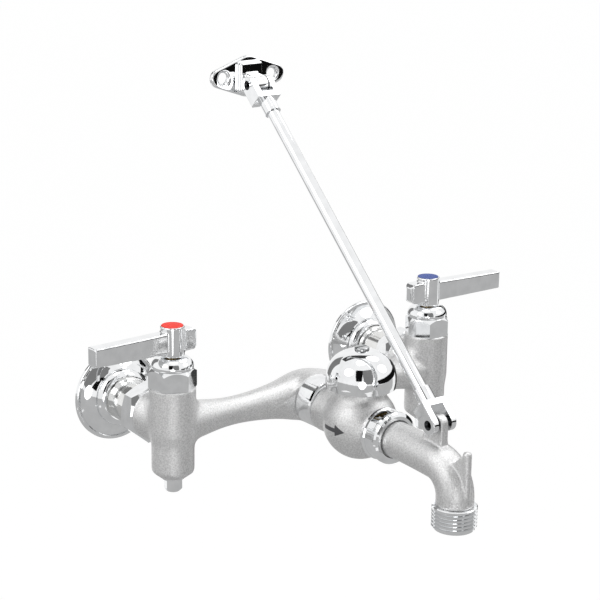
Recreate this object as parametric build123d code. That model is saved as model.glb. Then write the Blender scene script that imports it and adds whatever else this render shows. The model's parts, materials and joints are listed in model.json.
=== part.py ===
from build123d import *
import math
import os

# A wall-mounted service sink faucet. Millimetres. X runs along the wall, Y into the wall, Z up.
# The wall face is y = 0 and the origin lies on it, midway between the two supply inlets.

# Driving layout
inlet_spacing = 203.2
barrel_setback = 68.0
arm_waist_x = 55.0
outlet_setback = 215.0
outlet_drop = 3.5
bridge_drop = 0.5
lug_pin_setback = 198.7
lug_pin_height = 18.4
bracket_pin_setback = 13.5
bracket_pin_height = 193.5

# Clearances
running = 0.05
slip = 0.03
loose = 0.3
hub_gap = 0.6
seat_gap = 0.02

# Common forms
hex_bevel_angle = 30.0

# Inlet shank, union and flange, measured outwards from the wall face
shank_r = 14.0
shank_bore_r = 7.5
npt_bore_r = 9.2
npt_depth = 15.0
shank_collar_r = 15.4
shank_collar_t = 1.5
union_washer_t = 1.6
union_washer_bore_r = 8.5
boss_reach = 21.2
boss_face_setback = barrel_setback - boss_reach
boss_r = 16.45
boss_straight = 3.2
boss_root_inset = 2.1
boss_root_cover = 0.316
spigot_r = 15.5
spigot_length = 6.6
union_nut_flats = 34.5
union_nut_length = 12.0
union_nut_rear = boss_face_setback - union_nut_length
union_nut_turn = 21.0
union_nut_chamfer = 1.0
flange_r = 30.0
flange_rim_t = 2.4
flange_rim_w = 2.3
flange_face_rise = 4.2
flange_hub_r = 18.8
flange_hub_depth = 12.7
flange_skin = 1.0
flange_groove = 0.5
flange_step = 0.6
flange_face_sag = 1.26
flange_crest_angle = 45.0
flange_bore_clearance = 0.5

# Barrels
barrel_upper_r = 14.5
barrel_taper = 1.1
barrel_top = 23.5
barrel_neck_high = -4.0
barrel_neck_low = -14.0
barrel_shoulder = -30.8
barrel_bottom = -34.6
barrel_bottom_inset = 5.9
barrel_bore_r = 10.5
barrel_bore_bottom = -22.0
bonnet_thread_wall = 2.3
cartridge_ledge = 11.0
inlet_passage_r = 6.5
inlet_passage_drop = 14.0

# Bridge between the barrels
arm_centre_r = 16.6
arm_shoulder_x = 20.0
arm_shoulder_r = 12.8
arm_flank_x = 38.0
arm_flank_r = 10.0
arm_waist_r = 9.0
arm_shank_x = 72.0
arm_shank_r = 10.1
arm_root_x = 85.0
arm_root_inset = 2.4
arm_bore_r = 6.0
centre_boss_reach = 12.0
centre_boss_face = barrel_setback + centre_boss_reach
centre_bore_r = 10.0
spot_face_r = 24.0
body_blend = 7.0

# Outlet ring of the body
ring_r = 16.5
ring_length = 14.0
ring_edge = 0.9

# Stop at the bottom of each barrel
gland_r = 7.0
gland_length = 1.4
gland_plug_length = 10.0
gland_plug_r = 6.2
stop_flats = 10.0
stop_length = 8.2
stop_chamfer = 1.7
stop_stem_r = 3.0
stop_stem_top = -12.0
stop_turn = 15.0
stop_slot_w = 1.4
stop_slot_depth = 2.0

# Cartridge
cartridge_r = 10.4
cartridge_flange_t = 3.0
cartridge_bottom = -8.0
cartridge_wall = 1.6
cartridge_neck_r = 7.0
cartridge_neck_top = 34.0
stem_r = 4.0
seal_t = 1.5
seal_bore_r = 5.5
disc_r = 8.6
disc_t = 3.5
disc_port_r = 2.6
disc_port_x = 4.4
disc_cut_w = 6.4
stem_head_r = 7.6
stem_head_t = 3.0
window_r = 3.6
window_z = 4.2
stem_ring_r = 5.2
stem_ring_section_r = 0.9
stem_ring_z = 30.0

# Bonnet
bonnet_flats = 26.4
bonnet_hex_top = 36.2
bonnet_hex_turn = {"hot": 37.0, "cold": 58.0}
bonnet_dome_r = 13.1
bonnet_dome_top = 43.2
bonnet_mouth_r = 4.6
bonnet_crown_r = 7.4
bonnet_corner_inset = 0.6
bonnet_corner_drop = 2.86
bonnet_foot_edge = 0.5
bonnet_shoulder_angle = 40.0
bonnet_shoulder_lift = 0.54

# Lever handles
hub_r = 7.6
hub_height = 19.2
hub_edge = 0.5
button_r = 6.7
button_t = 1.3
button_crown = 0.15
screw_head_r = 4.2
screw_head_t = 2.6
screw_r = 2.0
screw_length = 8.0
screw_drive_flats = 3.0
lever_reach = 58.6
lever_w = 9.0
lever_root_h = 13.2
lever_tip_h = 11.6
lever_tip_w = 8.8
lever_low = 2.3
lever_tip_rise = 1.3
lever_edge = 0.7
lever_cant = 2.6
lever_blend = 1.6
screw_seat_t = 1.5
tail_reach = 16.0
tail_w = 9.0
tail_low = 2.4
tail_h = 13.4
tail_corner = 2.4
tail_side_chamfer = 1.2
stem_socket_depth = 11.5
stem_flat = 3.2

# Vacuum breaker
breaker_reach = 31.4
breaker_axis = centre_boss_face + ring_length + breaker_reach
breaker_ball_r = 23.3
breaker_ball_z = -2.4
breaker_neck_r = 15.2
breaker_top_neck_r = 15.6
breaker_top = 20.4
breaker_outlet_r = 14.2
breaker_thread_r = 13.2
breaker_chamber_r = 13.0
breaker_chamber_low = -16.0
breaker_port_r = 7.0
breaker_inlet_drop = 8.0
breaker_outlet_rise = 10.0
breaker_inlet_blend = 3.0
breaker_top_blend = 8.0
blend_bite = 0.05
blend_share = 0.85
valve_seat_z = 0.0
valve_seat_t = 3.0
valve_seat_bore_r = 6.5
air_flange_r = 15.2
air_flange_t = 2.6
air_port_r = 1.9
air_port_circle_r = 7.0
air_ports = 6
post_r = 4.2
float_r = 9.6
float_t = 3.0
float_pad_t = 1.2
float_pad_inset = 0.6
float_stem_r = 2.0
float_stem_length = 9.0
float_travel = 4.5
float_headroom = 2.3
hood_r = 22.1
hood_base = 20.9
hood_rim_inset = 0.5
hood_widest_z = 25.3
hood_rise = 19.3
hood_roundness = 2.3
hood_points = 9
hood_skin = 1.3
hood_screw_r = 4.6
hood_screw_t = 1.9
hood_screw_round = 1.1
hood_screw_shank_r = 2.0
hood_screw_shank = 8.0
hood_slot_w = 1.2
hood_slot_depth = 0.9

# Spout coupling nut
coupling_reach = 21.8
coupling_length = 13.2
coupling_rear = breaker_axis + coupling_reach
coupling_front = coupling_rear + coupling_length
breaker_thread_length = 7.8
breaker_thread_end = coupling_rear + breaker_thread_length
coupling_r = 15.6
coupling_bead_r = 16.4
coupling_bead_t = 1.3
coupling_step = 0.6
coupling_lip = 5.0
coupling_lip_rise = 1.2
coupling_land = 2.0
coupling_front_edge = 0.7
coupling_front_inset = 2.2
coupling_mouth_r = 12.2
coupling_mouth_t = 2.2
spout_gasket_t = 1.5

# Spout and hose end
spout_r = 11.3
spout_bore_r = 7.6
spout_bend_r = 17.7
spout_droop_r = 590.0
spout_plumb = 4.8
lug_t = 5.6
lug_eye_r = 5.6
lug_base = 16.4
lug_foot_w = 1.4
lug_foot_top = 9.5
prong_r = 2.7
prong_proud = 0.6
prong_top = 8.2
prong_root = -21.0
prong_round = 2.2
web_run = 9.0
web_top = 4.6
web_front_w = 4.4
web_back_w = 10.5
hose_major_r = 13.494
hose_pitch = 2.209
hose_thread_depth = 1.2
hose_ridge_sink = 0.15
hose_turns = 5.5
hose_chamfer = 0.5
hose_land = 1.0
hose_runout = 0.6
hose_ridge_root = 0.42
hose_ridge_crest = 0.13
hose_bore_r = 9.2
hose_end_margin = 1.2

# Wall brace
clevis_w = 17.5
clevis_slot = 9.9
clevis_depth = 11.5
clevis_web_start = 9.8
clevis_web_end = 13.5
clevis_edge = 0.5
ferrule_r = 5.3
ferrule_end = 23.2
rod_r = 3.95
rod_seat = 15.0
pin_r = 3.0
pin_bore_r = 1.7
pin_recess = 1.2

# Wall bracket
plate_t = 3.0
plate_lobe_x = 22.2
plate_lobe_r = 6.2
plate_middle_r = 13.4
plate_rise = 3.9
plate_screw_x = 19.05
plate_screw_r = 3.4
plate_sink_r = 4.7
plate_sink_depth = 1.8
plate_edge = 0.9
pad_w = 17.0
pad_h = 19.0
pad_depth = 3.7
pad_edge = 1.2
tongue_t = 9.2
tongue_eye_r = 5.6
tongue_root_h = 14.0

sides = {"hot": -1, "cold": 1}
hub_low = bonnet_dome_top + hub_gap
hub_top = hub_low + hub_height
base = (Align.CENTER, Align.CENTER, Align.MIN)


def at(radius, height):
    return (radius, 0, height)


def rod_solid(radius, low, high):
    return Pos(0, 0, low) * Cylinder(radius, high - low, align=base)


def ring_solid(outer, inner, low, high):
    return rod_solid(outer, low, high) - rod_solid(inner, low, high)


def turned(outline):
    # The outline is (radius, height) corners, turned about Z.
    corners = [(radius, 0, height) for radius, height in outline]
    return revolve(make_face(Polyline(*corners, close=True)), Axis.Z)


def turned_wire(*edges):
    return revolve(make_face(list(edges)), Axis.Z)


def out_from_wall(shape, x=0.0, z=0.0):
    # Local Z becomes the distance out from the wall, and local Y becomes up.
    return Pos(x, 0, z) * Rot(90, 0, 0) * shape


def barrel_lower_r():
    return barrel_upper_r - barrel_taper


def bonnet_thread_r():
    return barrel_upper_r - bonnet_thread_wall


def plate_z():
    return bracket_pin_height + plate_rise


def on_barrel(shape, side):
    return Pos(sides[side] * inlet_spacing / 2, -barrel_setback, 0) * shape


def drilled(start, end, radius):
    run = Vector(*end) - Vector(*start)
    return Plane(origin=start, z_dir=run) * Cylinder(radius, run.length, align=base)


def hex_prism(flats, low, high, turn=0.0):
    corner_r = flats / math.sqrt(3)
    face = RegularPolygon(corner_r, 6, rotation=turn)
    return Pos(0, 0, low) * extrude(face, high - low)


def chamfered_hex(flats, low, high, chamfer, turn=0.0):
    # A hexagon whose corners are turned off at both ends.
    corner_r = flats / math.sqrt(3)
    end_r = flats / 2 - chamfer
    drop = (corner_r - end_r) * math.tan(math.radians(hex_bevel_angle))
    bevel = turned([(0, low), (end_r, low), (corner_r, low + drop),
                    (corner_r, high - drop), (end_r, high), (0, high)])
    return hex_prism(flats, low, high, turn) & bevel


# Inlets

def make_inlet_shank():
    collar_far = boss_face_setback - spigot_length - union_washer_t
    solid = rod_solid(shank_r, 0, collar_far)
    solid += rod_solid(shank_collar_r, collar_far - shank_collar_t, collar_far)
    solid -= rod_solid(shank_bore_r, 0, collar_far)
    solid -= rod_solid(npt_bore_r, 0, npt_depth)
    return solid


def make_union_washer():
    far = boss_face_setback - spigot_length
    return ring_solid(shank_collar_r, union_washer_bore_r, far - union_washer_t, far)


def make_union_nut():
    front = boss_face_setback - slip
    lip_front = boss_face_setback - spigot_length - union_washer_t - shank_collar_t
    nut = chamfered_hex(union_nut_flats, union_nut_rear, front, union_nut_chamfer, union_nut_turn)
    nut -= rod_solid(shank_r + loose, union_nut_rear, lip_front)
    nut -= rod_solid(spigot_r + seat_gap, lip_front, front)
    return nut


def make_flange():
    # A rolled rim, a sagging face with a fine groove at each side, and a domed hub.
    bore = shank_r + flange_bore_clearance
    rim_inner = flange_r - flange_rim_w
    rim_round = flange_rim_t / 2
    rise_end = flange_rim_t + flange_face_rise
    dome_start = rise_end + flange_step
    dome_drop = flange_hub_depth - dome_start
    dome_width = flange_hub_r - bore
    crest = math.radians(flange_crest_angle)
    turn = rim_round * (1 - math.cos(math.radians(45)))
    solid = turned_wire(
        Line(at(bore, 0), at(flange_r, 0)),
        Line(at(flange_r, 0), at(flange_r, rim_round)),
        ThreePointArc(at(flange_r, rim_round), at(flange_r - turn, flange_rim_t - turn),
                      at(flange_r - rim_round, flange_rim_t)),
        Line(at(flange_r - rim_round, flange_rim_t), at(rim_inner, flange_rim_t)),
        Line(at(rim_inner, flange_rim_t), at(rim_inner - flange_groove, flange_rim_t - flange_groove)),
        ThreePointArc(at(rim_inner - flange_groove, flange_rim_t - flange_groove),
                      at((rim_inner + flange_hub_r) / 2, flange_rim_t + flange_face_sag),
                      at(flange_hub_r + flange_groove, rise_end)),
        Line(at(flange_hub_r + flange_groove, rise_end), at(flange_hub_r, dome_start)),
        ThreePointArc(at(flange_hub_r, dome_start),
                      at(bore + dome_width * math.cos(crest), dome_start + dome_drop * math.sin(crest)),
                      at(bore, flange_hub_depth)),
        Line(at(bore, flange_hub_depth), at(bore, 0)))
    pocket_top = flange_hub_depth - 2 * flange_skin
    pocket = turned([(0, 0), (flange_r - 2 * flange_skin, 0),
                     (flange_hub_r - flange_skin, rise_end - flange_skin),
                     (bore + flange_skin, pocket_top), (0, pocket_top)])
    sleeve = rod_solid(bore, 0, flange_hub_depth)
    return solid - (pocket - sleeve) - sleeve


# Body

def barrel_outline():
    # The side narrows from the upper to the lower radius in a smooth curve.
    bottom_r = barrel_upper_r - barrel_bottom_inset
    return turned_wire(
        Line(at(0, barrel_bottom), at(bottom_r, barrel_bottom)),
        Line(at(bottom_r, barrel_bottom), at(barrel_lower_r(), barrel_shoulder)),
        Line(at(barrel_lower_r(), barrel_shoulder), at(barrel_lower_r(), barrel_neck_low)),
        Spline(at(barrel_lower_r(), barrel_neck_low), at(barrel_upper_r, barrel_neck_high),
               tangents=[(0, 0, 1), (0, 0, 1)]),
        Line(at(barrel_upper_r, barrel_neck_high), at(barrel_upper_r, barrel_top)),
        Line(at(barrel_upper_r, barrel_top), at(0, barrel_top)),
        Line(at(0, barrel_top), at(0, barrel_bottom)))


def boss_outline():
    # The cone ends just inside the side of the barrel.
    root_r = barrel_upper_r - boss_root_inset
    root = barrel_setback - math.sqrt(barrel_upper_r ** 2 - root_r ** 2) + boss_root_cover
    return turned([(0, boss_face_setback), (boss_r, boss_face_setback),
                   (boss_r, boss_face_setback + boss_straight), (root_r, root),
                   (root_r, barrel_setback), (0, barrel_setback)])


def bridge():
    half = inlet_spacing / 2
    root_r = barrel_upper_r - arm_root_inset
    stations = [(arm_centre_r, 0), (arm_shoulder_r, arm_shoulder_x), (arm_flank_r, arm_flank_x),
                (arm_waist_r, arm_waist_x), (arm_shank_r, arm_shank_x), (root_r, arm_root_x), (root_r, half)]
    right = [(x, 0, radius) for radius, x in stations]
    left = [(-x, 0, radius) for radius, x in reversed(stations[1:])]
    crown = Spline(*(left + right))
    close = Polyline(right[-1], (half, 0, 0), (-half, 0, 0), left[0])
    return Pos(0, -barrel_setback, -bridge_drop) * revolve(make_face([crown, close]), Axis.X)


def centre_boss():
    return out_from_wall(rod_solid(ring_r, barrel_setback, centre_boss_face), 0, -bridge_drop)


def body_passages():
    half = inlet_spacing / 2
    cuts = drilled((-half, -barrel_setback, -bridge_drop), (half, -barrel_setback, -bridge_drop), arm_bore_r)
    centre_bore = rod_solid(centre_bore_r, barrel_setback, centre_boss_face + ring_length)
    cuts += out_from_wall(centre_bore, 0, -bridge_drop)
    for side in sides:
        bore = rod_solid(barrel_bore_r, barrel_bore_bottom, cartridge_ledge)
        bore += rod_solid(bonnet_thread_r(), cartridge_ledge, barrel_top)
        bore += rod_solid(gland_plug_r, barrel_bottom, barrel_bore_bottom)
        cuts += on_barrel(bore, side)
        x = sides[side] * half
        cuts += drilled((x, -(boss_face_setback - spigot_length), 0),
                        (x, -barrel_setback, -inlet_passage_drop), inlet_passage_r)
    return cuts


def make_body():
    barrels = Part() + [on_barrel(barrel_outline(), side) for side in sides]
    bosses = Part() + [out_from_wall(boss_outline(), sides[side] * inlet_spacing / 2) for side in sides]
    hubs = barrels + bosses
    hubs = fillet(new_edges(barrels, bosses, combined=hubs), body_blend) + centre_boss()
    arms = bridge()
    casting = arms + hubs
    casting = fillet(new_edges(arms, hubs, combined=casting), body_blend)
    for side in sides:
        casting += out_from_wall(rod_solid(spigot_r, boss_face_setback - spigot_length, boss_face_setback),
                                 sides[side] * inlet_spacing / 2)
    spot_face = rod_solid(spot_face_r, centre_boss_face, centre_boss_face + ring_length)
    return casting - out_from_wall(spot_face, 0, -bridge_drop) - body_passages()


def make_outlet_ring():
    ring = ring_solid(ring_r, centre_bore_r, centre_boss_face, centre_boss_face + ring_length)
    outer = ring.edges().filter_by(GeomType.CIRCLE).sort_by(lambda edge: edge.radius)[-2:]
    return chamfer(outer, ring_edge)


# Stops

def make_stop_gland():
    low = barrel_bottom - gland_length
    solid = rod_solid(gland_r, low, barrel_bottom)
    solid += rod_solid(gland_plug_r - slip, barrel_bottom, barrel_bottom + gland_plug_length)
    return solid - rod_solid(stop_stem_r + running, low, barrel_bottom + gland_plug_length)


def make_stop_screw():
    high = barrel_bottom - gland_length - slip
    low = high - stop_length
    head = hex_prism(stop_flats, low, high, stop_turn)
    corner_r = stop_flats / math.sqrt(3)
    head &= turned([(0, low), (corner_r - stop_chamfer, low), (corner_r, low + stop_chamfer),
                    (corner_r, high), (0, high)])
    head -= Pos(0, 0, low) * Box(3 * corner_r, stop_slot_w, 2 * stop_slot_depth)
    return head + rod_solid(stop_stem_r, high, stop_stem_top)


# Cartridges

def make_cartridge_body(side):
    solid = rod_solid(cartridge_r, cartridge_bottom, cartridge_ledge)
    solid += rod_solid(bonnet_thread_r() - 2 * slip, cartridge_ledge, cartridge_ledge + cartridge_flange_t)
    solid += rod_solid(cartridge_neck_r, cartridge_ledge, cartridge_neck_top)
    cavity = cartridge_r - cartridge_wall
    cavity_top = cartridge_bottom + seal_t + 2 * disc_t + stem_head_t + loose
    solid -= rod_solid(cavity, cartridge_bottom, cavity_top)
    solid -= rod_solid(stem_r + running, cavity_top, cartridge_neck_top)
    ring_low = stem_ring_z - stem_ring_section_r - slip
    ring_high = stem_ring_z + stem_ring_section_r + slip
    solid -= rod_solid(stem_ring_r + stem_ring_section_r + slip, ring_low, ring_high)
    inward = -sides[side] * 2 * cartridge_r
    return solid - drilled((0, 0, window_z), (inward, 0, window_z), window_r)


def make_seat_seal():
    outer_r = cartridge_r - cartridge_wall - slip
    return ring_solid(outer_r, seal_bore_r, cartridge_bottom, cartridge_bottom + seal_t)


def make_fixed_disc():
    low = cartridge_bottom + seal_t
    solid = rod_solid(disc_r, low, low + disc_t)
    for x in (-disc_port_x, disc_port_x):
        solid -= Pos(x, 0, 0) * rod_solid(disc_port_r, low, low + disc_t)
    return solid


def make_rotor_disc():
    low = cartridge_bottom + seal_t + disc_t
    solid = rod_solid(disc_r, low, low + disc_t)
    return solid - Pos(0, 0, low) * Box(disc_cut_w, 3 * disc_r, disc_t)


def make_stem():
    low = cartridge_bottom + seal_t + 2 * disc_t
    solid = rod_solid(stem_head_r, low, low + stem_head_t)
    solid += rod_solid(stem_r, low, hub_low + stem_socket_depth)
    flat_low = hub_low - hub_gap / 2
    flat = Box(2 * stem_r, 3 * stem_r, 3 * stem_socket_depth, align=base)
    solid -= Pos(stem_flat + stem_r, 0, flat_low) * flat
    groove = stem_ring_section_r + slip
    floor_r = stem_ring_r - groove + slip
    solid -= ring_solid(stem_r + groove, floor_r, stem_ring_z - groove, stem_ring_z + groove)
    return solid - rod_solid(screw_r + slip, hub_low, hub_low + stem_socket_depth)


def make_stem_ring():
    return Pos(0, 0, stem_ring_z) * Torus(stem_ring_r, stem_ring_section_r)


def make_bonnet(side):
    low = barrel_top + slip
    corner_r = bonnet_flats / math.sqrt(3)
    skirt = rod_solid(bonnet_thread_r() - slip, cartridge_ledge + cartridge_flange_t, low)
    prism = hex_prism(bonnet_flats, low, bonnet_hex_top, bonnet_hex_turn[side])
    prism &= turned([(0, low), (corner_r - bonnet_foot_edge, low), (corner_r, low + bonnet_foot_edge),
                     (corner_r, bonnet_hex_top - bonnet_corner_drop),
                     (bonnet_flats / 2 - bonnet_corner_inset, bonnet_hex_top), (0, bonnet_hex_top)])
    turn = math.radians(bonnet_shoulder_angle)
    rise = bonnet_dome_top - bonnet_hex_top
    middle = at(bonnet_crown_r + (bonnet_dome_r - bonnet_crown_r) * math.cos(turn),
                bonnet_hex_top + rise * math.sin(turn) + bonnet_shoulder_lift)
    dome = turned_wire(
        Line(at(0, bonnet_hex_top), at(bonnet_dome_r, bonnet_hex_top)),
        ThreePointArc(at(bonnet_dome_r, bonnet_hex_top), middle, at(bonnet_crown_r, bonnet_dome_top)),
        Line(at(bonnet_crown_r, bonnet_dome_top), at(0, bonnet_dome_top)),
        Line(at(0, bonnet_dome_top), at(0, bonnet_hex_top)))
    solid = skirt + prism + dome
    inner_r = cartridge_neck_r + loose
    solid -= rod_solid(inner_r, cartridge_ledge, cartridge_neck_top + loose)
    return solid - rod_solid(bonnet_mouth_r, cartridge_neck_top, bonnet_dome_top)


# Handles, pointing along -X

def lever_blade():
    root_low = hub_low + lever_low
    tip_low = root_low + lever_tip_rise
    root = Plane(origin=(0, 0, root_low + lever_root_h / 2), z_dir=(-1, 0, 0), x_dir=(0, 1, 0))
    tip = Plane(origin=(-lever_reach, 0, tip_low + lever_tip_h / 2), z_dir=(-1, 0, 0), x_dir=(0, 1, 0))
    blade = loft([root * Rectangle(lever_w, lever_root_h), tip * Rectangle(lever_tip_w, lever_tip_h)])
    return fillet(blade.edges(), lever_edge)


def lever_tail():
    low = hub_low + tail_low
    outline = Polyline((0, 0, low), (tail_reach - tail_corner, 0, low), (tail_reach, 0, low + tail_corner),
                       (tail_reach, 0, low + tail_h - tail_corner), (tail_reach - tail_corner, 0, low + tail_h),
                       (0, 0, low + tail_h), close=True)
    slab = extrude(make_face(outline), tail_w / 2, both=True)
    end_edges = slab.edges().filter_by(Axis.Z).sort_by(Axis.X)[-2:]
    return chamfer(end_edges, tail_corner, tail_side_chamfer)


def make_lever():
    hub = rod_solid(hub_r, hub_low, hub_top)
    rims = hub.edges().filter_by(GeomType.CIRCLE)
    hub = fillet(rims, hub_edge)
    arms = lever_blade() + lever_tail()
    solid = hub + arms
    roots = new_edges(hub, arms, combined=solid)
    solid = fillet(roots.filter_by(Axis.Z), lever_blend)
    socket = rod_solid(stem_r + seat_gap, hub_low, hub_low + stem_socket_depth)
    flat = Box(2 * stem_r, 3 * stem_r, stem_socket_depth, align=base)
    socket -= Pos(stem_flat + seat_gap + stem_r, 0, hub_low) * flat
    solid -= socket
    head_low = hub_low + stem_socket_depth + screw_seat_t
    solid -= rod_solid(screw_r + slip, hub_low + stem_socket_depth, head_low)
    solid -= rod_solid(screw_head_r + slip, head_low, hub_top)
    return solid - rod_solid(button_r + slip, hub_top - button_t, hub_top)


def make_handle_screw():
    head_low = hub_low + stem_socket_depth + screw_seat_t
    solid = rod_solid(screw_head_r, head_low, head_low + screw_head_t)
    solid += rod_solid(screw_r, head_low - screw_length, head_low)
    return solid - hex_prism(screw_drive_flats, head_low + screw_head_t / 2, head_low + screw_head_t)


def make_button():
    middle = at(0, hub_top + button_crown)
    rim = at(button_r, hub_top - slip)
    face = Spline(middle, rim, tangents=[(1, 0, 0), (button_r, 0, -2 * button_crown)])
    seat = hub_top - button_t
    return turned_wire(face, Polyline(rim, at(button_r, seat), at(0, seat), middle))


# Vacuum breaker, about its own upright axis

def at_breaker(shape):
    return Pos(0, -breaker_axis, 0) * shape


def top_blend():
    # The blend under the hood, kept small enough that it ends on its neck.
    rise = breaker_top - breaker_ball_z
    largest = (rise ** 2 / (breaker_ball_r - breaker_top_neck_r) - breaker_ball_r - breaker_top_neck_r) / 2
    return min(breaker_top_blend, blend_share * largest)


def blended_neck(radius, end, blend):
    # A neck on a ball at the local origin, flaring into the ball with a concave arc.
    ball = breaker_ball_r - blend_bite
    centre = Vector(radius + blend, 0, math.sqrt((ball + blend) ** 2 - (radius + blend) ** 2))
    to_ball = centre.normalized() * -blend
    to_neck = Vector(-blend, 0, 0)
    middle = centre + (to_ball + to_neck).normalized() * blend
    return turned_wire(
        Line((0, 0, 0), centre + to_ball),
        ThreePointArc(centre + to_ball, middle, centre + to_neck),
        Line(centre + to_neck, (radius, 0, end)),
        Line((radius, 0, end), (0, 0, end)),
        Line((0, 0, end), (0, 0, 0)))


def make_breaker_body():
    start = centre_boss_face + ring_length
    ball = at_breaker(Pos(0, 0, breaker_ball_z) * Sphere(breaker_ball_r))
    inlet = blended_neck(breaker_neck_r, breaker_axis - start, breaker_inlet_blend)
    top = blended_neck(breaker_top_neck_r, breaker_top - breaker_ball_z, top_blend())
    solid = ball + at_breaker(Pos(0, 0, breaker_ball_z) * Rot(-90, 0, 0) * inlet)
    solid += at_breaker(Pos(0, 0, breaker_ball_z) * top)
    solid -= at_breaker(rod_solid(breaker_ball_r, breaker_top, breaker_top + breaker_ball_r))
    solid += out_from_wall(rod_solid(breaker_outlet_r, breaker_axis, coupling_rear), 0, -outlet_drop)
    solid -= out_from_wall(rod_solid(2 * breaker_ball_r, coupling_rear, coupling_front), 0, -outlet_drop)
    solid += out_from_wall(rod_solid(breaker_thread_r, coupling_rear, breaker_thread_end), 0, -outlet_drop)
    chamber = at_breaker(rod_solid(breaker_chamber_r, breaker_chamber_low, breaker_top))
    wall = breaker_axis - breaker_chamber_r
    front = breaker_axis + breaker_chamber_r
    entry = drilled((0, -start, -bridge_drop), (0, -wall - breaker_port_r, -breaker_inlet_drop), breaker_port_r)
    leave = drilled((0, -front + breaker_port_r, breaker_outlet_rise), (0, -breaker_thread_end, -outlet_drop),
                    breaker_port_r)
    return solid - chamber - entry - leave


def air_plate_low():
    return valve_seat_z + valve_seat_t + float_pad_t + float_t + float_travel + float_headroom


def make_valve_seat():
    seat = ring_solid(breaker_chamber_r - slip, valve_seat_bore_r, valve_seat_z, valve_seat_z + valve_seat_t)
    return at_breaker(seat)


def make_air_bonnet():
    low = air_plate_low()
    top = hood_top() - hood_skin
    solid = rod_solid(breaker_chamber_r - slip, low, breaker_top)
    solid += rod_solid(air_flange_r, breaker_top, breaker_top + air_flange_t)
    solid += rod_solid(post_r, breaker_top, top) & hood_skin_solid(hood_skin + seat_gap)
    for index in range(air_ports):
        angle = math.radians(360 / air_ports * index)
        x = air_port_circle_r * math.cos(angle)
        y = air_port_circle_r * math.sin(angle)
        solid -= Pos(x, y, 0) * rod_solid(air_port_r, low, breaker_top + air_flange_t)
    guide_top = low + float_stem_length
    solid -= rod_solid(float_stem_r + running, low, guide_top)
    solid -= rod_solid(hood_screw_shank_r + slip, top - hood_screw_shank, top)
    return at_breaker(solid)


def make_float():
    low = valve_seat_z + valve_seat_t + float_pad_t
    solid = rod_solid(float_r, low, low + float_t)
    return at_breaker(solid + rod_solid(float_stem_r, low, low + float_t + float_stem_length))


def make_float_pad():
    low = valve_seat_z + valve_seat_t
    return at_breaker(rod_solid(float_r - float_pad_inset, low, low + float_pad_t))


def hood_top():
    return hood_widest_z + hood_rise


def hood_skin_solid(inset):
    # The outer or inner surface of the hood as a closed solid: a drawn-in rim under a superelliptic dome.
    wide = hood_r - inset
    tall = hood_rise - inset
    power = 2 / hood_roundness
    turns = [math.radians(90 * step / (hood_points - 1)) for step in range(hood_points)]
    dome = [(wide * math.cos(turn) ** power, 0, hood_widest_z + tall * math.sin(turn) ** power)
            for turn in turns[:-1]] + [(0, 0, hood_widest_z + tall)]
    rim = (wide - hood_rim_inset, 0, hood_base)
    return turned_wire(
        Line((0, 0, hood_base), rim),
        Spline(rim, dome[0], tangents=[(hood_rim_inset, 0, hood_widest_z - hood_base), (0, 0, 1)]),
        Spline(*dome, tangents=[(0, 0, 1), (-1, 0, 0)]),
        Line(dome[-1], (0, 0, hood_base)))


def make_hood():
    shell = hood_skin_solid(0) - hood_skin_solid(hood_skin)
    hole = rod_solid(hood_screw_shank_r + loose, hood_top() - 2 * hood_skin, hood_top() + hood_skin)
    return at_breaker(shell - hole)


def make_hood_screw():
    low = hood_top()
    head = rod_solid(hood_screw_r, low, low + hood_screw_t)
    rim = head.edges().filter_by(GeomType.CIRCLE).sort_by(Axis.Z)[-1:]
    head = fillet(rim, hood_screw_round)
    head -= Pos(0, 0, low + hood_screw_t) * Box(3 * hood_screw_r, hood_slot_w, 2 * hood_slot_depth)
    return at_breaker(head + rod_solid(hood_screw_shank_r, low - hood_screw_shank, low))


# Spout

def make_coupling_nut():
    thread = breaker_thread_r + seat_gap
    bead_end = coupling_rear + coupling_bead_t
    lip_start = coupling_front - coupling_lip
    mouth_start = coupling_front - coupling_mouth_t
    nut = turned([(thread, coupling_rear), (coupling_bead_r, coupling_rear), (coupling_bead_r, bead_end),
                  (coupling_r, bead_end + coupling_step), (coupling_r, lip_start),
                  (coupling_bead_r, lip_start + coupling_lip_rise),
                  (coupling_bead_r, coupling_front - coupling_land),
                  (coupling_bead_r - coupling_front_edge, coupling_front - coupling_front_edge),
                  (coupling_bead_r - coupling_front_inset, coupling_front),
                  (coupling_mouth_r, coupling_front), (coupling_mouth_r, mouth_start), (thread, mouth_start)])
    return out_from_wall(nut, 0, -outlet_drop)


def make_spout_gasket():
    ring = ring_solid(breaker_thread_r - loose, spout_bore_r, breaker_thread_end, spout_start())
    return out_from_wall(ring, 0, -outlet_drop)


def spout_start():
    return breaker_thread_end + spout_gasket_t


def spout_droop():
    # The angle at which the gentle droop passes into the tight bend, so that the outlet hangs plumb.
    run = outlet_setback - spout_start() - spout_bend_r
    return math.asin(run / (spout_droop_r - spout_bend_r))


def spout_bend_centre():
    # (distance from the wall, height)
    droop = spout_droop()
    out = outlet_setback - spout_bend_r
    height = -outlet_drop - spout_droop_r + (spout_droop_r - spout_bend_r) * math.cos(droop)
    return out, height


def spout_end_z():
    return spout_bend_centre()[1] - spout_plumb


def spout_tube(radius):
    # A gentle droop out from the coupling, a tight bend down to plumb and a short plumb end.
    droop = math.degrees(spout_droop())
    section = Plane(origin=(0, -spout_start(), -outlet_drop), z_dir=(0, 1, 0)) * Circle(radius)
    droop_axis = Axis((0, -spout_start(), -outlet_drop - spout_droop_r), (1, 0, 0))
    out, height = spout_bend_centre()
    bend_axis = Axis((0, -out, height), (1, 0, 0))
    second = section.rotate(droop_axis, droop)
    end = Pos(0, -outlet_setback, 0) * rod_solid(radius, spout_end_z(), height)
    return revolve(section, droop_axis, droop) + revolve(second, bend_axis, 90 - droop) + end


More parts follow.
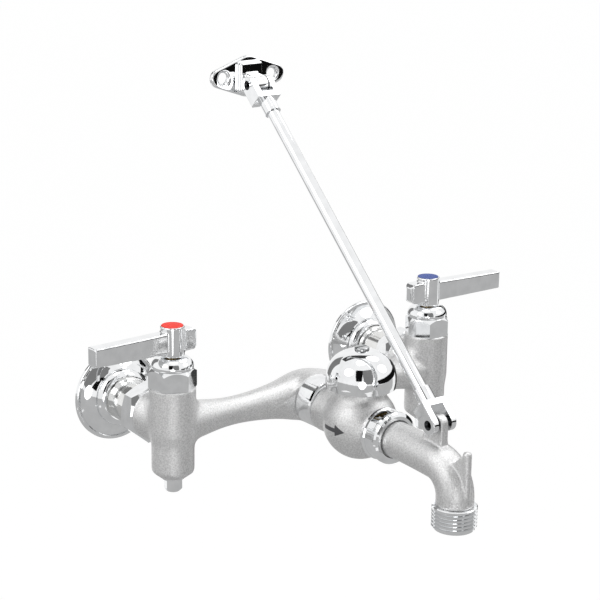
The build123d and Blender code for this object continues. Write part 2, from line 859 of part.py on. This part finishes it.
def brace_lug():
    front = -(lug_pin_setback + lug_eye_r)
    back = front + lug_base
    foot = -outlet_drop
    outline = make_hull([
        Pos(-lug_pin_setback, lug_pin_height) * Circle(lug_eye_r).edge(),
        Line((back, foot), (front, foot)),
        Line((front, foot), (front, lug_pin_height))])
    lug = Plane.YZ * extrude(outline, lug_t / 2, both=True)
    half = lug_t / 2
    flare = Polyline((-half - lug_foot_w, 0, foot), (-half, 0, lug_foot_top), (half, 0, lug_foot_top),
                     (half + lug_foot_w, 0, foot), close=True)
    return lug + Pos(0, front, 0) * extrude(make_face(flare), lug_base, dir=(0, 1, 0))


def prong_setback():
    return outlet_setback + spout_r + prong_proud - prong_r


def pail_prong():
    # A round upright rod on the bend, with a web behind it that widens towards the wall.
    rod = rod_solid(prong_r, prong_root, prong_top)
    rod = fillet(rod.edges().filter_by(GeomType.CIRCLE).sort_by(Axis.Z)[-1:], prong_round)
    web_back = prong_r + web_run
    side_view = Polyline((0, prong_root), (0, web_top), (prong_r, web_top), (web_back, web_top - web_run),
                         (web_back, prong_root), close=True)
    plan = Polyline((-web_front_w / 2, 0), (web_front_w / 2, 0), (web_back_w / 2, web_back),
                    (-web_back_w / 2, web_back), close=True)
    web = Plane.YZ * extrude(make_face(side_view), web_back_w, both=True)
    web &= Pos(0, 0, prong_root) * extrude(make_face(plan), prong_top - prong_root)
    return Pos(0, -prong_setback(), 0) * (rod + web)


def make_spout():
    outside = spout_tube(spout_r)
    flange_high = coupling_front - coupling_mouth_t
    outside += out_from_wall(rod_solid(breaker_thread_r - loose, spout_start(), flange_high), 0, -outlet_drop)
    outside += brace_lug()
    outside += pail_prong()
    outside -= spout_tube(spout_bore_r)
    pin_hole = Pos(0, -lug_pin_setback, lug_pin_height) * Rot(0, 90, 0) * Cylinder(pin_r + running, 2 * lug_t)
    return outside - pin_hole


def make_hose_end():
    # From the top: a chamfer, a plain land of the thread's full diameter, then the thread.
    top = spout_end_z()
    minor_r = hose_major_r - hose_thread_depth
    land_high = top - hose_chamfer
    land_low = land_high - hose_land
    thread_length = hose_pitch * hose_turns
    low = land_low - thread_length - hose_end_margin
    core = turned([(hose_bore_r, low), (minor_r - hose_chamfer, low), (minor_r, low + hose_chamfer),
                   (minor_r, land_low - hose_runout), (hose_major_r, land_low), (hose_major_r, land_high),
                   (hose_major_r - hose_chamfer, top), (hose_bore_r, top)])
    sunk_r = minor_r - hose_ridge_sink
    half_root = hose_pitch * hose_ridge_root
    half_crest = hose_pitch * hose_ridge_crest
    profile = Polyline((sunk_r, 0, -half_root), (hose_major_r, 0, -half_crest), (hose_major_r, 0, half_crest),
                       (sunk_r, 0, half_root), close=True)
    ridge = sweep(make_face(profile), path=Helix(hose_pitch, thread_length, minor_r), is_frenet=True)
    return Pos(0, -outlet_setback, 0) * (core + Pos(0, 0, land_low - thread_length) * ridge)


# Brace, along local Z from the lug pin

def brace_vector():
    return Vector(0, lug_pin_setback - bracket_pin_setback, bracket_pin_height - lug_pin_height)


def on_brace(shape):
    lug_pin = (0, -lug_pin_setback, lug_pin_height)
    return Plane(origin=lug_pin, x_dir=(1, 0, 0), z_dir=brace_vector()) * shape


def clevis():
    outline = Polyline((-clevis_depth / 2, 0), (-clevis_depth / 2, clevis_web_end),
                       (clevis_depth / 2, clevis_web_end), (clevis_depth / 2, 0))
    end = ThreePointArc((clevis_depth / 2, 0), (0, -clevis_depth / 2), (-clevis_depth / 2, 0))
    block = Plane.YZ * extrude(make_face([outline, end]), clevis_w / 2, both=True)
    rims = block.edges().filter_by(Axis.X, reverse=True)
    block = fillet(rims, clevis_edge)
    block -= Pos(0, 0, clevis_web_start) * Box(clevis_slot, 2 * clevis_depth, 4 * clevis_depth,
                                              align=(Align.CENTER, Align.CENTER, Align.MAX))
    block += rod_solid(ferrule_r, clevis_web_end, ferrule_end)
    block -= rod_solid(rod_r + seat_gap, rod_seat, ferrule_end)
    return block - Rot(0, 90, 0) * Cylinder(pin_r + seat_gap, 2 * clevis_w)


def roll_pin():
    length = clevis_w - 2 * pin_recess
    return Rot(0, 90, 0) * (Cylinder(pin_r, length) - Cylinder(pin_bore_r, length))


def make_rod():
    length = brace_vector().length
    return on_brace(rod_solid(rod_r, rod_seat, length - rod_seat))


def far_end(shape):
    # The same piece turned end for end at the bracket pin.
    return Pos(0, 0, brace_vector().length) * Rot(180, 0, 0) * shape


# Wall bracket

def bracket_plate():
    lobes = [Pos(x, 0) * Circle(plate_lobe_r).edge() for x in (-plate_lobe_x, plate_lobe_x)]
    face = make_hull([*lobes, Circle(plate_middle_r).edge()])
    plate = extrude(face, plate_t)
    top_rim = plate.edges().group_by(Axis.Z)[-1]
    plate = fillet(top_rim, plate_edge)
    for x in (-plate_screw_x, plate_screw_x):
        plate -= Pos(x, 0, 0) * rod_solid(plate_screw_r, 0, plate_t)
        sink_end = plate_t - plate_sink_depth
        sink = turned([(0, plate_t), (plate_sink_r, plate_t), (plate_screw_r, sink_end), (0, sink_end)])
        plate -= Pos(x, 0, 0) * sink
    return plate


def make_bracket():
    plate = out_from_wall(bracket_plate(), 0, plate_z())
    pad = Pos(0, 0, plate_t) * Box(pad_w, pad_h, pad_depth, align=base)
    pad = fillet(pad.edges().filter_by(Axis.Z) + pad.edges().group_by(Axis.Z)[-1], pad_edge)
    pad_face = plate_t + pad_depth
    tongue = make_hull([
        Pos(-bracket_pin_setback, bracket_pin_height) * Circle(tongue_eye_r).edge(),
        Line((-plate_t, bracket_pin_height - tongue_root_h / 2),
             (-plate_t, bracket_pin_height + tongue_root_h / 2)),
        Line((-pad_face, bracket_pin_height - tongue_eye_r), (-pad_face, bracket_pin_height + tongue_eye_r))])
    solid = plate + out_from_wall(pad, 0, plate_z())
    solid += Plane.YZ * extrude(tongue, tongue_t / 2, both=True)
    pin_hole = Rot(0, 90, 0) * Cylinder(pin_r + running, 2 * clevis_w)
    return solid - Pos(0, -bracket_pin_setback, bracket_pin_height) * pin_hole


# Write every node

def valve_nodes(side):
    inlet_x = sides[side] * inlet_spacing / 2
    facing = Rot(0, 0, lever_cant if side == "hot" else 180 - lever_cant)
    nodes = {
        "inlet_shank": out_from_wall(make_inlet_shank(), inlet_x),
        "union_washer": out_from_wall(make_union_washer(), inlet_x),
        "union_nut": out_from_wall(make_union_nut(), inlet_x),
        "wall_flange": out_from_wall(make_flange(), inlet_x),
        "stop_gland": on_barrel(make_stop_gland(), side),
        "stop_screw": on_barrel(make_stop_screw(), side),
        "cartridge_body": on_barrel(make_cartridge_body(side), side),
        "seat_seal": on_barrel(make_seat_seal(), side),
        "fixed_disc": on_barrel(make_fixed_disc(), side),
        "rotor_disc": on_barrel(make_rotor_disc(), side),
        "valve_stem": on_barrel(facing * make_stem(), side),
        "stem_ring": on_barrel(make_stem_ring(), side),
        "bonnet": on_barrel(make_bonnet(side), side),
        "lever": on_barrel(facing * make_lever(), side),
        "lever_screw": on_barrel(make_handle_screw(), side),
        "index_button": on_barrel(make_button(), side),
    }
    return {f"{side}_{name}": solid for name, solid in nodes.items()}


def all_nodes():
    nodes = {"body_casting": make_body(), "outlet_ring": out_from_wall(make_outlet_ring(), 0, -bridge_drop)}
    for side in sides:
        nodes.update(valve_nodes(side))
    nodes.update({
        "breaker_body": make_breaker_body(),
        "breaker_seat": make_valve_seat(),
        "breaker_air_bonnet": make_air_bonnet(),
        "breaker_float": make_float(),
        "breaker_float_pad": make_float_pad(),
        "breaker_hood": make_hood(),
        "breaker_hood_screw": make_hood_screw(),
        "coupling_nut": make_coupling_nut(),
        "spout_gasket": make_spout_gasket(),
        "spout": make_spout(),
        "hose_end": make_hose_end(),
        "lower_clevis": on_brace(clevis()),
        "upper_clevis": on_brace(far_end(clevis())),
        "lower_pin": on_brace(roll_pin()),
        "upper_pin": on_brace(far_end(roll_pin())),
        "brace_rod": make_rod(),
        "wall_bracket": make_bracket(),
    })
    return nodes


def write_parts():
    os.makedirs("parts", exist_ok=True)
    for name, solid in all_nodes().items():
        solid.label = name
        export_step(solid, f"parts/{name}.step")
        print(name, "volume", round(solid.volume, 1))


if __name__ == "__main__":
    write_parts()
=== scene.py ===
import bpy
import json
import math
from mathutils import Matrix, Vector

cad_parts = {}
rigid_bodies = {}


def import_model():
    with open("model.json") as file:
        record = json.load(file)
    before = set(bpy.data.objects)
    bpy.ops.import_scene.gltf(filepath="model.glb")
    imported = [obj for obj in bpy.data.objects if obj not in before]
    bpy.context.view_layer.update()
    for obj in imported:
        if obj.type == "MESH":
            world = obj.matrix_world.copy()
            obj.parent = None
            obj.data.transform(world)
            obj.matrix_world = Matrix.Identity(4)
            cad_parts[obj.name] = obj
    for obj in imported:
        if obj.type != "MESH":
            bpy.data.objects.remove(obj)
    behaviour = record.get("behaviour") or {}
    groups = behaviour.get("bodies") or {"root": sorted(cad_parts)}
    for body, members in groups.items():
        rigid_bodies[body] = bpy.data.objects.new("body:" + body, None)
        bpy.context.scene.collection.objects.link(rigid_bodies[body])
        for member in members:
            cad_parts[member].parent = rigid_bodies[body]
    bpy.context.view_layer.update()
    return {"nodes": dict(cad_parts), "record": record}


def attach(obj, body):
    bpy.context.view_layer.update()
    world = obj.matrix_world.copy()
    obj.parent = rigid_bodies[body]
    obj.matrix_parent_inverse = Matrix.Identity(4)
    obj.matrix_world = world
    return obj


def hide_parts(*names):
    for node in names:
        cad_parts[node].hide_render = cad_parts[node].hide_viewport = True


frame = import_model()
print("frame loaded,", len(frame["nodes"]), "nodes")

mm = 0.001
mmPerMetre = 1000.0
root = "faucet_body"


def linear(hexColour):
    values = [int(hexColour[i:i + 2], 16) / 255 for i in (1, 3, 5)]
    return [v / 12.92 if v <= 0.04045 else ((v + 0.055) / 1.055) ** 2.4 for v in values] + [1.0]


def addNode(tree, kind, settings=None, **links):
    # Settings are values of inputs or properties of the node, and links are sources for its inputs.
    node = tree.nodes.new(kind)
    for name, value in (settings or {}).items():
        if name in node.inputs.keys():
            node.inputs[name].default_value = value
        else:
            setattr(node, name, value)
    for name, source in links.items():
        tree.links.new(source, node.inputs[name.replace("_", " ")])
    return node


def addMath(tree, operation, *values, clamp=False):
    # Each value is a number or the output of another node.
    node = addNode(tree, "ShaderNodeMath", {"operation": operation, "use_clamp": clamp})
    for index, value in enumerate(values):
        if isinstance(value, (int, float)):
            node.inputs[index].default_value = value
        else:
            tree.links.new(value, node.inputs[index])
    return node.outputs[0]


def addMixShader(tree, share, first, second):
    node = tree.nodes.new("ShaderNodeMixShader")
    for index, source in enumerate((share, first, second)):
        tree.links.new(source, node.inputs[index])
    return node.outputs[0]


def addNoise(tree, place, size, detail, roughness=0.5):
    # Noise whose features are about that many millimetres across.
    settings = {"Scale": mmPerMetre / size, "Detail": detail, "Roughness": roughness}
    return addNode(tree, "ShaderNodeTexNoise", settings, Vector=place).outputs["Fac"]


def addRamp(tree, source, *stops):
    node = addNode(tree, "ShaderNodeValToRGB", {}, Fac=source)
    ramp = node.color_ramp
    while len(ramp.elements) > 1:
        ramp.elements.remove(ramp.elements[0])
    ramp.elements[0].position = stops[0][0]
    ramp.elements[0].color = linear(stops[0][1])
    for place, colour in stops[1:]:
        ramp.elements.new(place).color = linear(colour)
    return node.outputs["Color"]


def addRange(tree, source, low, high, start=0.0, end=1.0):
    settings = {"From Min": start, "From Max": end, "To Min": low, "To Max": high}
    return addNode(tree, "ShaderNodeMapRange", settings, Value=source).outputs["Result"]


def addBump(tree, source, strength, depth):
    settings = {"Strength": strength, "Distance": depth * mm}
    return addNode(tree, "ShaderNodeBump", settings, Height=source).outputs["Normal"]


def startMaterial(name):
    material = bpy.data.materials.new(name)
    material.use_nodes = True
    tree = material.node_tree
    place = tree.nodes.new("ShaderNodeTexCoord").outputs["Object"]
    return material, tree, tree.nodes["Principled BSDF"], place


def connect(tree, shader, sources):
    for name, source in sources.items():
        tree.links.new(source, shader.inputs[name])


def setOnly(obj, material):
    obj.data.materials.clear()
    obj.data.materials.append(material)


def pick(obj):
    bpy.ops.object.select_all(action="DESELECT")
    obj.select_set(True)
    bpy.context.view_layer.objects.active = obj


def applyModifier(obj, kind, **settings):
    pick(obj)
    modifier = obj.modifiers.new(kind.lower(), kind)
    for name, value in settings.items():
        setattr(modifier, name, value)
    bpy.ops.object.modifier_apply(modifier=modifier.name)


# Sizes and depths in every look are in millimetres.
castLook = {"colour": "#ececec", "low": "#cecece", "lowAt": 0.35, "colourAt": 0.65, "roughness": 0.44,
            "smoother": 0.03, "rougher": 0.05, "grain": 0.9, "grainDetail": 2.0, "grainRoughness": 0.6,
            "fine": 0.45, "fineDetail": 1.0, "fineShare": 0.4, "cloud": 16, "cloudDetail": 1.0,
            "cloudLow": 0.3, "cloudHigh": 0.7, "bump": 1.0, "depth": 0.15}
# The flow arrow's places on the breaker's ball: out from its axis, up from its centre and past its side.
arrow = {"axis": 125.6, "centre": -2.65, "tail": -7.2, "neck": 3.3, "tip": 10.5, "half": 1.35, "barb": 3.75,
         "overlap": 0.1, "side": -18.5, "paint": "#47474a"}
chromeLook = {"colour": "#f4f5f6", "dull": "#e9eaeb", "dullAt": 0.3, "colourAt": 0.65, "roughness": 0.035,
              "haze": 0.04, "hazeSize": 7, "hazeDetail": 4.0, "hazeLow": 0.35, "hazeHigh": 0.7,
              "wave": 26.0, "waveDetail": 1.0, "waveBump": 0.3, "waveDepth": 0.02}
turnedLook = {"cloud": 6, "streak": 0.8, "detail": 2.0, "darkAt": 0.3, "lightAt": 0.7,
              "smoother": 0.06, "rougher": 0.1}
mouldedLook = {"cloud": 5, "detail": 2.0, "darkAt": 0.3, "lightAt": 0.7, "smoother": 0.04, "rougher": 0.06,
               "bump": 0.2}


def makeArrowMask(tree, place):
    # One where the painted arrow lies: a bar, and a triangle whose width falls to nothing at the tip.
    parts = addNode(tree, "ShaderNodeSeparateXYZ", {}, Vector=place).outputs
    out = addMath(tree, "MULTIPLY_ADD", parts["Y"], -mmPerMetre, -arrow["axis"])
    up = addMath(tree, "MULTIPLY_ADD", parts["Z"], mmPerMetre, -arrow["centre"])
    off = addMath(tree, "ABSOLUTE", up)
    fall = arrow["barb"] / (arrow["tip"] - arrow["neck"])
    edge = addMath(tree, "MULTIPLY_ADD", out, -fall, fall * arrow["tip"])
    inHead = addMath(tree, "LESS_THAN", off, edge)
    pastNeck = addMath(tree, "GREATER_THAN", out, arrow["neck"])
    inBar = addMath(tree, "LESS_THAN", off, arrow["half"])
    pastTail = addMath(tree, "GREATER_THAN", out, arrow["tail"])
    beforeTip = addMath(tree, "LESS_THAN", out, arrow["neck"] + arrow["overlap"])
    head = addMath(tree, "MULTIPLY", inHead, pastNeck)
    bar = addMath(tree, "MULTIPLY", inBar, addMath(tree, "MULTIPLY", pastTail, beforeTip))
    nearSide = addMath(tree, "LESS_THAN", parts["X"], arrow["side"] * mm)
    return addMath(tree, "MULTIPLY", addMath(tree, "MAXIMUM", head, bar), nearSide)


def makeCastPlating(name, withArrow=False):
    # Sand-cast brass, plated but not polished: a fine sandy grain, soft highlights and a speckled grey.
    look = castLook
    material, tree, shader, place = startMaterial(name)
    grain = addNoise(tree, place, look["grain"], look["grainDetail"], look["grainRoughness"])
    fine = addNoise(tree, place, look["fine"], look["fineDetail"])
    cloud = addNoise(tree, place, look["cloud"], look["cloudDetail"])
    both = addMath(tree, "MULTIPLY_ADD", fine, look["fineShare"], grain)
    colour = addRamp(tree, grain, (look["lowAt"], look["low"]), (look["colourAt"], look["colour"]))
    rough = addRange(tree, cloud, look["roughness"] - look["smoother"], look["roughness"] + look["rougher"],
                     look["cloudLow"], look["cloudHigh"])
    bump = addBump(tree, both, look["bump"], look["depth"])
    shader.inputs["Metallic"].default_value = 1.0
    if withArrow:
        mask = makeArrowMask(tree, place)
        paint = {"Color2": linear(arrow["paint"])}
        colour = addNode(tree, "ShaderNodeMixRGB", paint, Fac=mask, Color1=colour).outputs["Color"]
        connect(tree, shader, {"Metallic": addMath(tree, "SUBTRACT", 1.0, mask)})
    connect(tree, shader, {"Base Color": colour, "Roughness": rough, "Normal": bump})
    return material


def makeChrome():
    # Buffed brass under bright chrome plate: a near mirror, a little wavy from the buffing wheel.
    look = chromeLook
    material, tree, shader, place = startMaterial("buffedChromePlate")
    wave = addNoise(tree, place, look["wave"], look["waveDetail"])
    haze = addNoise(tree, place, look["hazeSize"], look["hazeDetail"])
    colour = addRamp(tree, haze, (look["dullAt"], look["dull"]), (look["colourAt"], look["colour"]))
    rough = addRange(tree, haze, look["roughness"], look["roughness"] + look["haze"],
                     look["hazeLow"], look["hazeHigh"])
    bump = addBump(tree, wave, look["waveBump"], look["waveDepth"])
    connect(tree, shader, {"Base Color": colour, "Roughness": rough, "Normal": bump})
    shader.inputs["Metallic"].default_value = 1.0
    return material


def makeTurnedMetal(name, light, dark, roughness):
    # Turned or drawn metal: an even tone with a slight cloud, and a fine unevenness in its shine.
    look = turnedLook
    material, tree, shader, place = startMaterial(name)
    streak = addNoise(tree, place, look["streak"], look["detail"])
    cloud = addNoise(tree, place, look["cloud"], look["detail"])
    colour = addRamp(tree, cloud, (look["darkAt"], dark), (look["lightAt"], light))
    rough = addRange(tree, streak, roughness - look["smoother"], roughness + look["rougher"])
    connect(tree, shader, {"Base Color": colour, "Roughness": rough})
    shader.inputs["Metallic"].default_value = 1.0
    return material


def makeMoulded(name, light, dark, roughness, grainSize, depth):
    # Moulded, pressed, lapped or enamelled non-metal: an even colour with a slight cloud and a fine skin.
    look = mouldedLook
    material, tree, shader, place = startMaterial(name)
    cloud = addNoise(tree, place, look["cloud"], look["detail"])
    grain = addNoise(tree, place, grainSize, look["detail"])
    colour = addRamp(tree, cloud, (look["darkAt"], dark), (look["lightAt"], light))
    rough = addRange(tree, grain, roughness - look["smoother"], roughness + look["rougher"])
    bump = addBump(tree, grain, look["bump"], depth)
    connect(tree, shader, {"Base Color": colour, "Roughness": rough, "Normal": bump})
    return material


castPlating = makeCastPlating("sandCastPlatedBrass")
castWithArrow = makeCastPlating("sandCastPlatedBrassWithArrow", True)
chrome = makeChrome()
finishes = {
    "rough_plated_casting": castPlating,
    "polished_chrome": chrome,
    "plated_brass": makeTurnedMetal("turnedBrightPlate", "#ececeb", "#dededc", 0.08),
    "brass": makeTurnedMetal("turnedBrass", "#d6bd8a", "#b59a68", 0.28),
    "stainless_steel": makeTurnedMetal("turnedStainlessSteel", "#c9cacb", "#aeb0b1", 0.22),
    "dark_steel": makeTurnedMetal("oiledSpringSteel", "#3a3b3d", "#232426", 0.35),
    "white_ceramic": makeMoulded("lappedAlumina", "#efeeea", "#e2e1dc", 0.18, 0.6, 0.004),
    "black_rubber": makeMoulded("mouldedNitrileRubber", "#1d1d1e", "#121213", 0.62, 0.4, 0.02),
    "fibre": makeMoulded("pressedFibre", "#8a3a26", "#6d2c1c", 0.75, 0.5, 0.03),
    "white_plastic": makeMoulded("mouldedAcetal", "#ecebe6", "#dedcd6", 0.38, 0.9, 0.01),
    "red_index": makeMoulded("redEnamelledIndex", "#ff3622", "#f92a16", 0.55, 0.5, 0.006),
    "blue_index": makeMoulded("blueEnamelledIndex", "#4059a6", "#384f98", 0.55, 0.5, 0.006),
}
for entry in frame["record"]["subparts"]:
    setOnly(frame["nodes"][entry["node"]], finishes[entry["material_slot"]])
setOnly(frame["nodes"]["breaker_body"], castWithArrow)
print("finishes made")


# Voxels and edges are in millimetres. A machined end is an axis, a level on it and the side that it faces.
castBody = {"node": "body_casting", "name": "bodyCasting", "body": root, "slot": "rough_plated_casting",
            "material": castPlating, "voxel": 0.75, "passes": 26, "edge": 1.6,
            "machined": [("z", 22.6, 1), ("z", -33.9, -1), ("y", -47.6, 1), ("y", -79.2, -1)]}
castBreaker = {"node": "breaker_body", "name": "breakerCasting", "body": root,
               "slot": "rough_plated_casting", "material": castWithArrow,
               "voxel": 0.7, "passes": 16, "edge": 1.4,
               "machined": [("y", -95.2, 1), ("z", 19.6, 1), ("y", -145.6, -1)]}
castSpout = {"node": "spout", "name": "spoutCasting", "body": root, "slot": "rough_plated_casting",
             "material": castPlating, "voxel": 0.5, "passes": 14, "edge": 1.2,
             "machined": [("y", -160.6, 1), ("z", -26.4, -1)]}
castHotLever = {"node": "hot_lever", "name": "hotLeverCasting", "body": "hot_handle",
                "slot": "polished_chrome", "material": chrome,
                "voxel": 0.4, "passes": 12, "edge": 0.8, "machined": []}
castColdLever = {"node": "cold_lever", "name": "coldLeverCasting", "body": "cold_handle",
                 "slot": "polished_chrome", "material": chrome,
                 "voxel": 0.4, "passes": 12, "edge": 0.8, "machined": []}
castBracket = {"node": "wall_bracket", "name": "wallBracketCasting", "body": "bracket",
               "slot": "polished_chrome", "material": chrome,
               "voxel": 0.35, "passes": 12, "edge": 0.8, "machined": [("y", -0.6, 1)]}
weldDistance = 0.000001
smoothFactor = 0.5


def softenCasting(look):
    # A copy of the solid with soft corners and joins, as a casting has them. Its machined ends stay sharp.
    pick(frame["nodes"][look["node"]])
    bpy.ops.object.duplicate()
    piece = bpy.context.view_layer.objects.active
    piece.name = look["name"]
    bpy.ops.object.parent_clear(type="CLEAR_KEEP_TRANSFORM")
    bpy.ops.object.transform_apply(location=True, rotation=True, scale=True)
    bpy.ops.object.mode_set(mode="EDIT")
    bpy.ops.mesh.select_all(action="SELECT")
    bpy.ops.mesh.remove_doubles(threshold=weldDistance)
    bpy.ops.object.mode_set(mode="OBJECT")
    applyModifier(piece, "REMESH", mode="VOXEL", voxel_size=look["voxel"] * mm, adaptivity=0.0)
    group = piece.vertex_groups.new(name="sand")
    for vertex in piece.data.vertices:
        weight = 1.0
        for axis, level, way in look["machined"]:
            beyond = (getattr(vertex.co, axis) - level * mm) * way
            weight = min(weight, max(0.0, -beyond / (look["edge"] * mm)))
        group.add([vertex.index], weight, "REPLACE")
    applyModifier(piece, "SMOOTH", factor=smoothFactor, iterations=look["passes"], vertex_group=group.name)
    bpy.ops.object.shade_smooth()
    setOnly(piece, look["material"])
    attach(piece, look["body"])
    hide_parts(look["node"])
    print(look["name"], len(piece.data.polygons), "faces")


for look in (castBody, castBreaker, castSpout, castHotLever, castColdLever, castBracket):
    softenCasting(look)
print("castings done")


# The room is white all round. The dimmer light is for rays that leave a dull surface.
roomLook = {"name": "studioWorld", "colour": "#ffffff", "white": 1.0, "dim": 0.62}
floorLook = {"name": "studioFloor", "height": -0.9, "size": 24, "colour": "#f4f4f4", "roughness": 0.9,
             "glowColour": "#ffffff", "glow": 0.8, "glowStrength": 1.1}
# Plain cards stand in the white room, as in any studio for polished metal, and only reflections show them.
# A card's turn is in degrees round from the camera's side, to its right, and its rise up from level.
# Its reach is its distance in metres, its width and height are the angles it fills, and it has a plain tone.
cameraSide = -124
tones = {"black": "#101010", "dark": "#404040", "middle": "#808080", "pale": "#b8b8b8"}
cards = [
    {"name": "tableCard", "turn": 0, "rise": -90, "reach": 0.5,
     "width": 120, "height": 120, "tone": "pale"},
    {"name": "leftLowCard", "turn": -90, "rise": -19, "reach": 1.6,
     "width": 80, "height": 24, "tone": "pale"},
    {"name": "frontLowCard", "turn": -10, "rise": -19, "reach": 1.6,
     "width": 80, "height": 24, "tone": "pale"},
    {"name": "rightLowCard", "turn": 70, "rise": -19, "reach": 1.6,
     "width": 80, "height": 24, "tone": "pale"},
    {"name": "lensCard", "turn": -10, "rise": 30, "reach": 2.4,
     "width": 20, "height": 45, "tone": "black"},
    {"name": "lensSideCard", "turn": 20, "rise": 25, "reach": 2.4,
     "width": 30, "height": 55, "tone": "middle"},
    {"name": "rightCard", "turn": 90, "rise": 0, "reach": 2.4,
     "width": 90, "height": 15, "tone": "black"},
    {"name": "rightBackCard", "turn": 145, "rise": -15, "reach": 1.2,
     "width": 30, "height": 50, "tone": "dark"},
    {"name": "leftBackCard", "turn": -135, "rise": 15, "reach": 2.4,
     "width": 30, "height": 50, "tone": "middle"},
    {"name": "wallCeilingCard", "turn": 180, "rise": 60, "reach": 2.4,
     "width": 60, "height": 20, "tone": "dark"},
]
# A lamp's place, the point that it faces and its width are in metres, and its power in watts.
lamps = [
    {"name": "leftSoftBox", "place": (-1.05, -0.15, 0.80),
     "aim": (0, -0.1, 0.05), "width": 0.7, "power": 2.4},
    {"name": "frontSoftBox", "place": (-0.80, -1.27, -0.10),
     "aim": (0, -0.1, 0), "width": 0.6, "power": 2.0},
    {"name": "rearSoftBox", "place": (0.65, 0.08, 1.02),
     "aim": (0, -0.1, 0.02), "width": 0.5, "power": 1.6},
    {"name": "rightSoftBox", "place": (0.90, -0.75, 0.80),
     "aim": (0, -0.1, 0.05), "width": 0.7, "power": 2.0},
    {"name": "topSoftBox", "place": (0, -0.1, 1.35),
     "aim": (0, -0.1, 0.05), "width": 0.5, "power": 2.5},
]
# Thirty-four degrees to the left of the spout and sixteen degrees above it.
view = {"name": "photoCamera", "place": (-0.68209, -0.96699, 0.38317), "tilt": 74.044, "turn": -34.020,
        "sensor": 36.0, "lens": 110.335, "shiftX": 0.1530, "shiftY": 0.0039}


def backgroundShare(tree):
    # Camera rays see the white background, and so do glossy and transmission rays, for metal and glass.
    path = tree.nodes.new("ShaderNodeLightPath").outputs
    seen = addMath(tree, "ADD", path["Is Glossy Ray"], path["Is Transmission Ray"])
    return addMath(tree, "ADD", path["Is Camera Ray"], seen, clamp=True)


def makeWorld():
    world = bpy.data.worlds.new(roomLook["name"])
    bpy.context.scene.world = world
    world.use_nodes = True
    tree = world.node_tree
    tree.nodes.clear()
    out = tree.nodes.new("ShaderNodeOutputWorld")
    colour = linear(roomLook["colour"])
    dim = addNode(tree, "ShaderNodeBackground", {"Color": colour, "Strength": roomLook["dim"]}).outputs[0]
    white = addNode(tree, "ShaderNodeBackground", {"Color": colour, "Strength": roomLook["white"]}).outputs[0]
    room = addMixShader(tree, backgroundShare(tree), dim, white)
    tree.links.new(room, out.inputs["Surface"])


def makeFloor():
    # Pale matt paint that keeps the object's shadow, with a white glow where the background is seen.
    bpy.ops.object.select_all(action="DESELECT")
    bpy.ops.mesh.primitive_plane_add(size=floorLook["size"], location=(0, 0, floorLook["height"]))
    floor = bpy.context.view_layer.objects.active
    floor.name = floorLook["name"]
    material = bpy.data.materials.new("paleFloorPaint")
    material.use_nodes = True
    tree = material.node_tree
    out = tree.nodes["Material Output"]
    shader = tree.nodes["Principled BSDF"]
    shader.inputs["Base Color"].default_value = linear(floorLook["colour"])
    shader.inputs["Roughness"].default_value = floorLook["roughness"]
    settings = {"Color": linear(floorLook["glowColour"]), "Strength": floorLook["glowStrength"]}
    glow = addNode(tree, "ShaderNodeEmission", settings).outputs[0]
    share = addMath(tree, "MULTIPLY", backgroundShare(tree), floorLook["glow"])
    tree.links.new(addMixShader(tree, share, shader.outputs[0], glow), out.inputs["Surface"])
    floor.data.materials.append(material)


def makeCardPaint(tone):
    # Matt painted board: its own even tone is all that a reflection shows of it.
    material = bpy.data.materials.new(tone + "PaintedBoard")
    material.use_nodes = True
    tree = material.node_tree
    glow = addNode(tree, "ShaderNodeEmission", {"Color": linear(tones[tone]), "Strength": 1.0})
    tree.links.new(glow.outputs[0], tree.nodes["Material Output"].inputs["Surface"])
    return material


def spanOf(card, side):
    return 2 * card["reach"] * math.tan(math.radians(card[side] / 2))


def makeCard(card, paint):
    turn = math.radians(cameraSide + card["turn"])
    rise = math.radians(card["rise"])
    way = Vector((math.cos(rise) * math.cos(turn), math.cos(rise) * math.sin(turn), math.sin(rise)))
    bpy.ops.object.select_all(action="DESELECT")
    bpy.ops.mesh.primitive_plane_add(size=1, location=way * card["reach"])
    board = bpy.context.view_layer.objects.active
    board.name = card["name"]
    board.rotation_euler = way.to_track_quat("Z", "Y").to_euler()
    board.scale = (spanOf(card, "width"), spanOf(card, "height"), 1)
    bpy.ops.object.transform_apply(location=True, rotation=True, scale=True)
    board.data.materials.append(paint)
    board.visible_camera = False
    board.visible_diffuse = False
    board.visible_shadow = False


def makeLamp(look):
    bpy.ops.object.light_add(type="AREA", location=look["place"])
    lamp = bpy.context.view_layer.objects.active
    lamp.name = look["name"]
    lamp.data.shape = "ELLIPSE"
    lamp.data.size = look["width"]
    lamp.data.size_y = look["width"]
    lamp.data.energy = look["power"]
    lamp.rotation_euler = (Vector(look["aim"]) - Vector(look["place"])).to_track_quat("-Z", "Y").to_euler()


def makeCamera():
    rotation = (math.radians(view["tilt"]), 0, math.radians(view["turn"]))
    bpy.ops.object.camera_add(location=view["place"], rotation=rotation)
    camera = bpy.context.view_layer.objects.active
    camera.name = view["name"]
    camera.data.sensor_width = view["sensor"]
    camera.data.lens = view["lens"]
    camera.data.shift_x = view["shiftX"]
    camera.data.shift_y = view["shiftY"]
    bpy.context.scene.camera = camera


makeWorld()
makeFloor()
paints = {tone: makeCardPaint(tone) for tone in tones}
for card in cards:
    makeCard(card, paints[card["tone"]])
for lamp in lamps:
    makeLamp(lamp)
makeCamera()
bpy.context.scene.view_settings.view_transform = "Standard"
print("studio done")
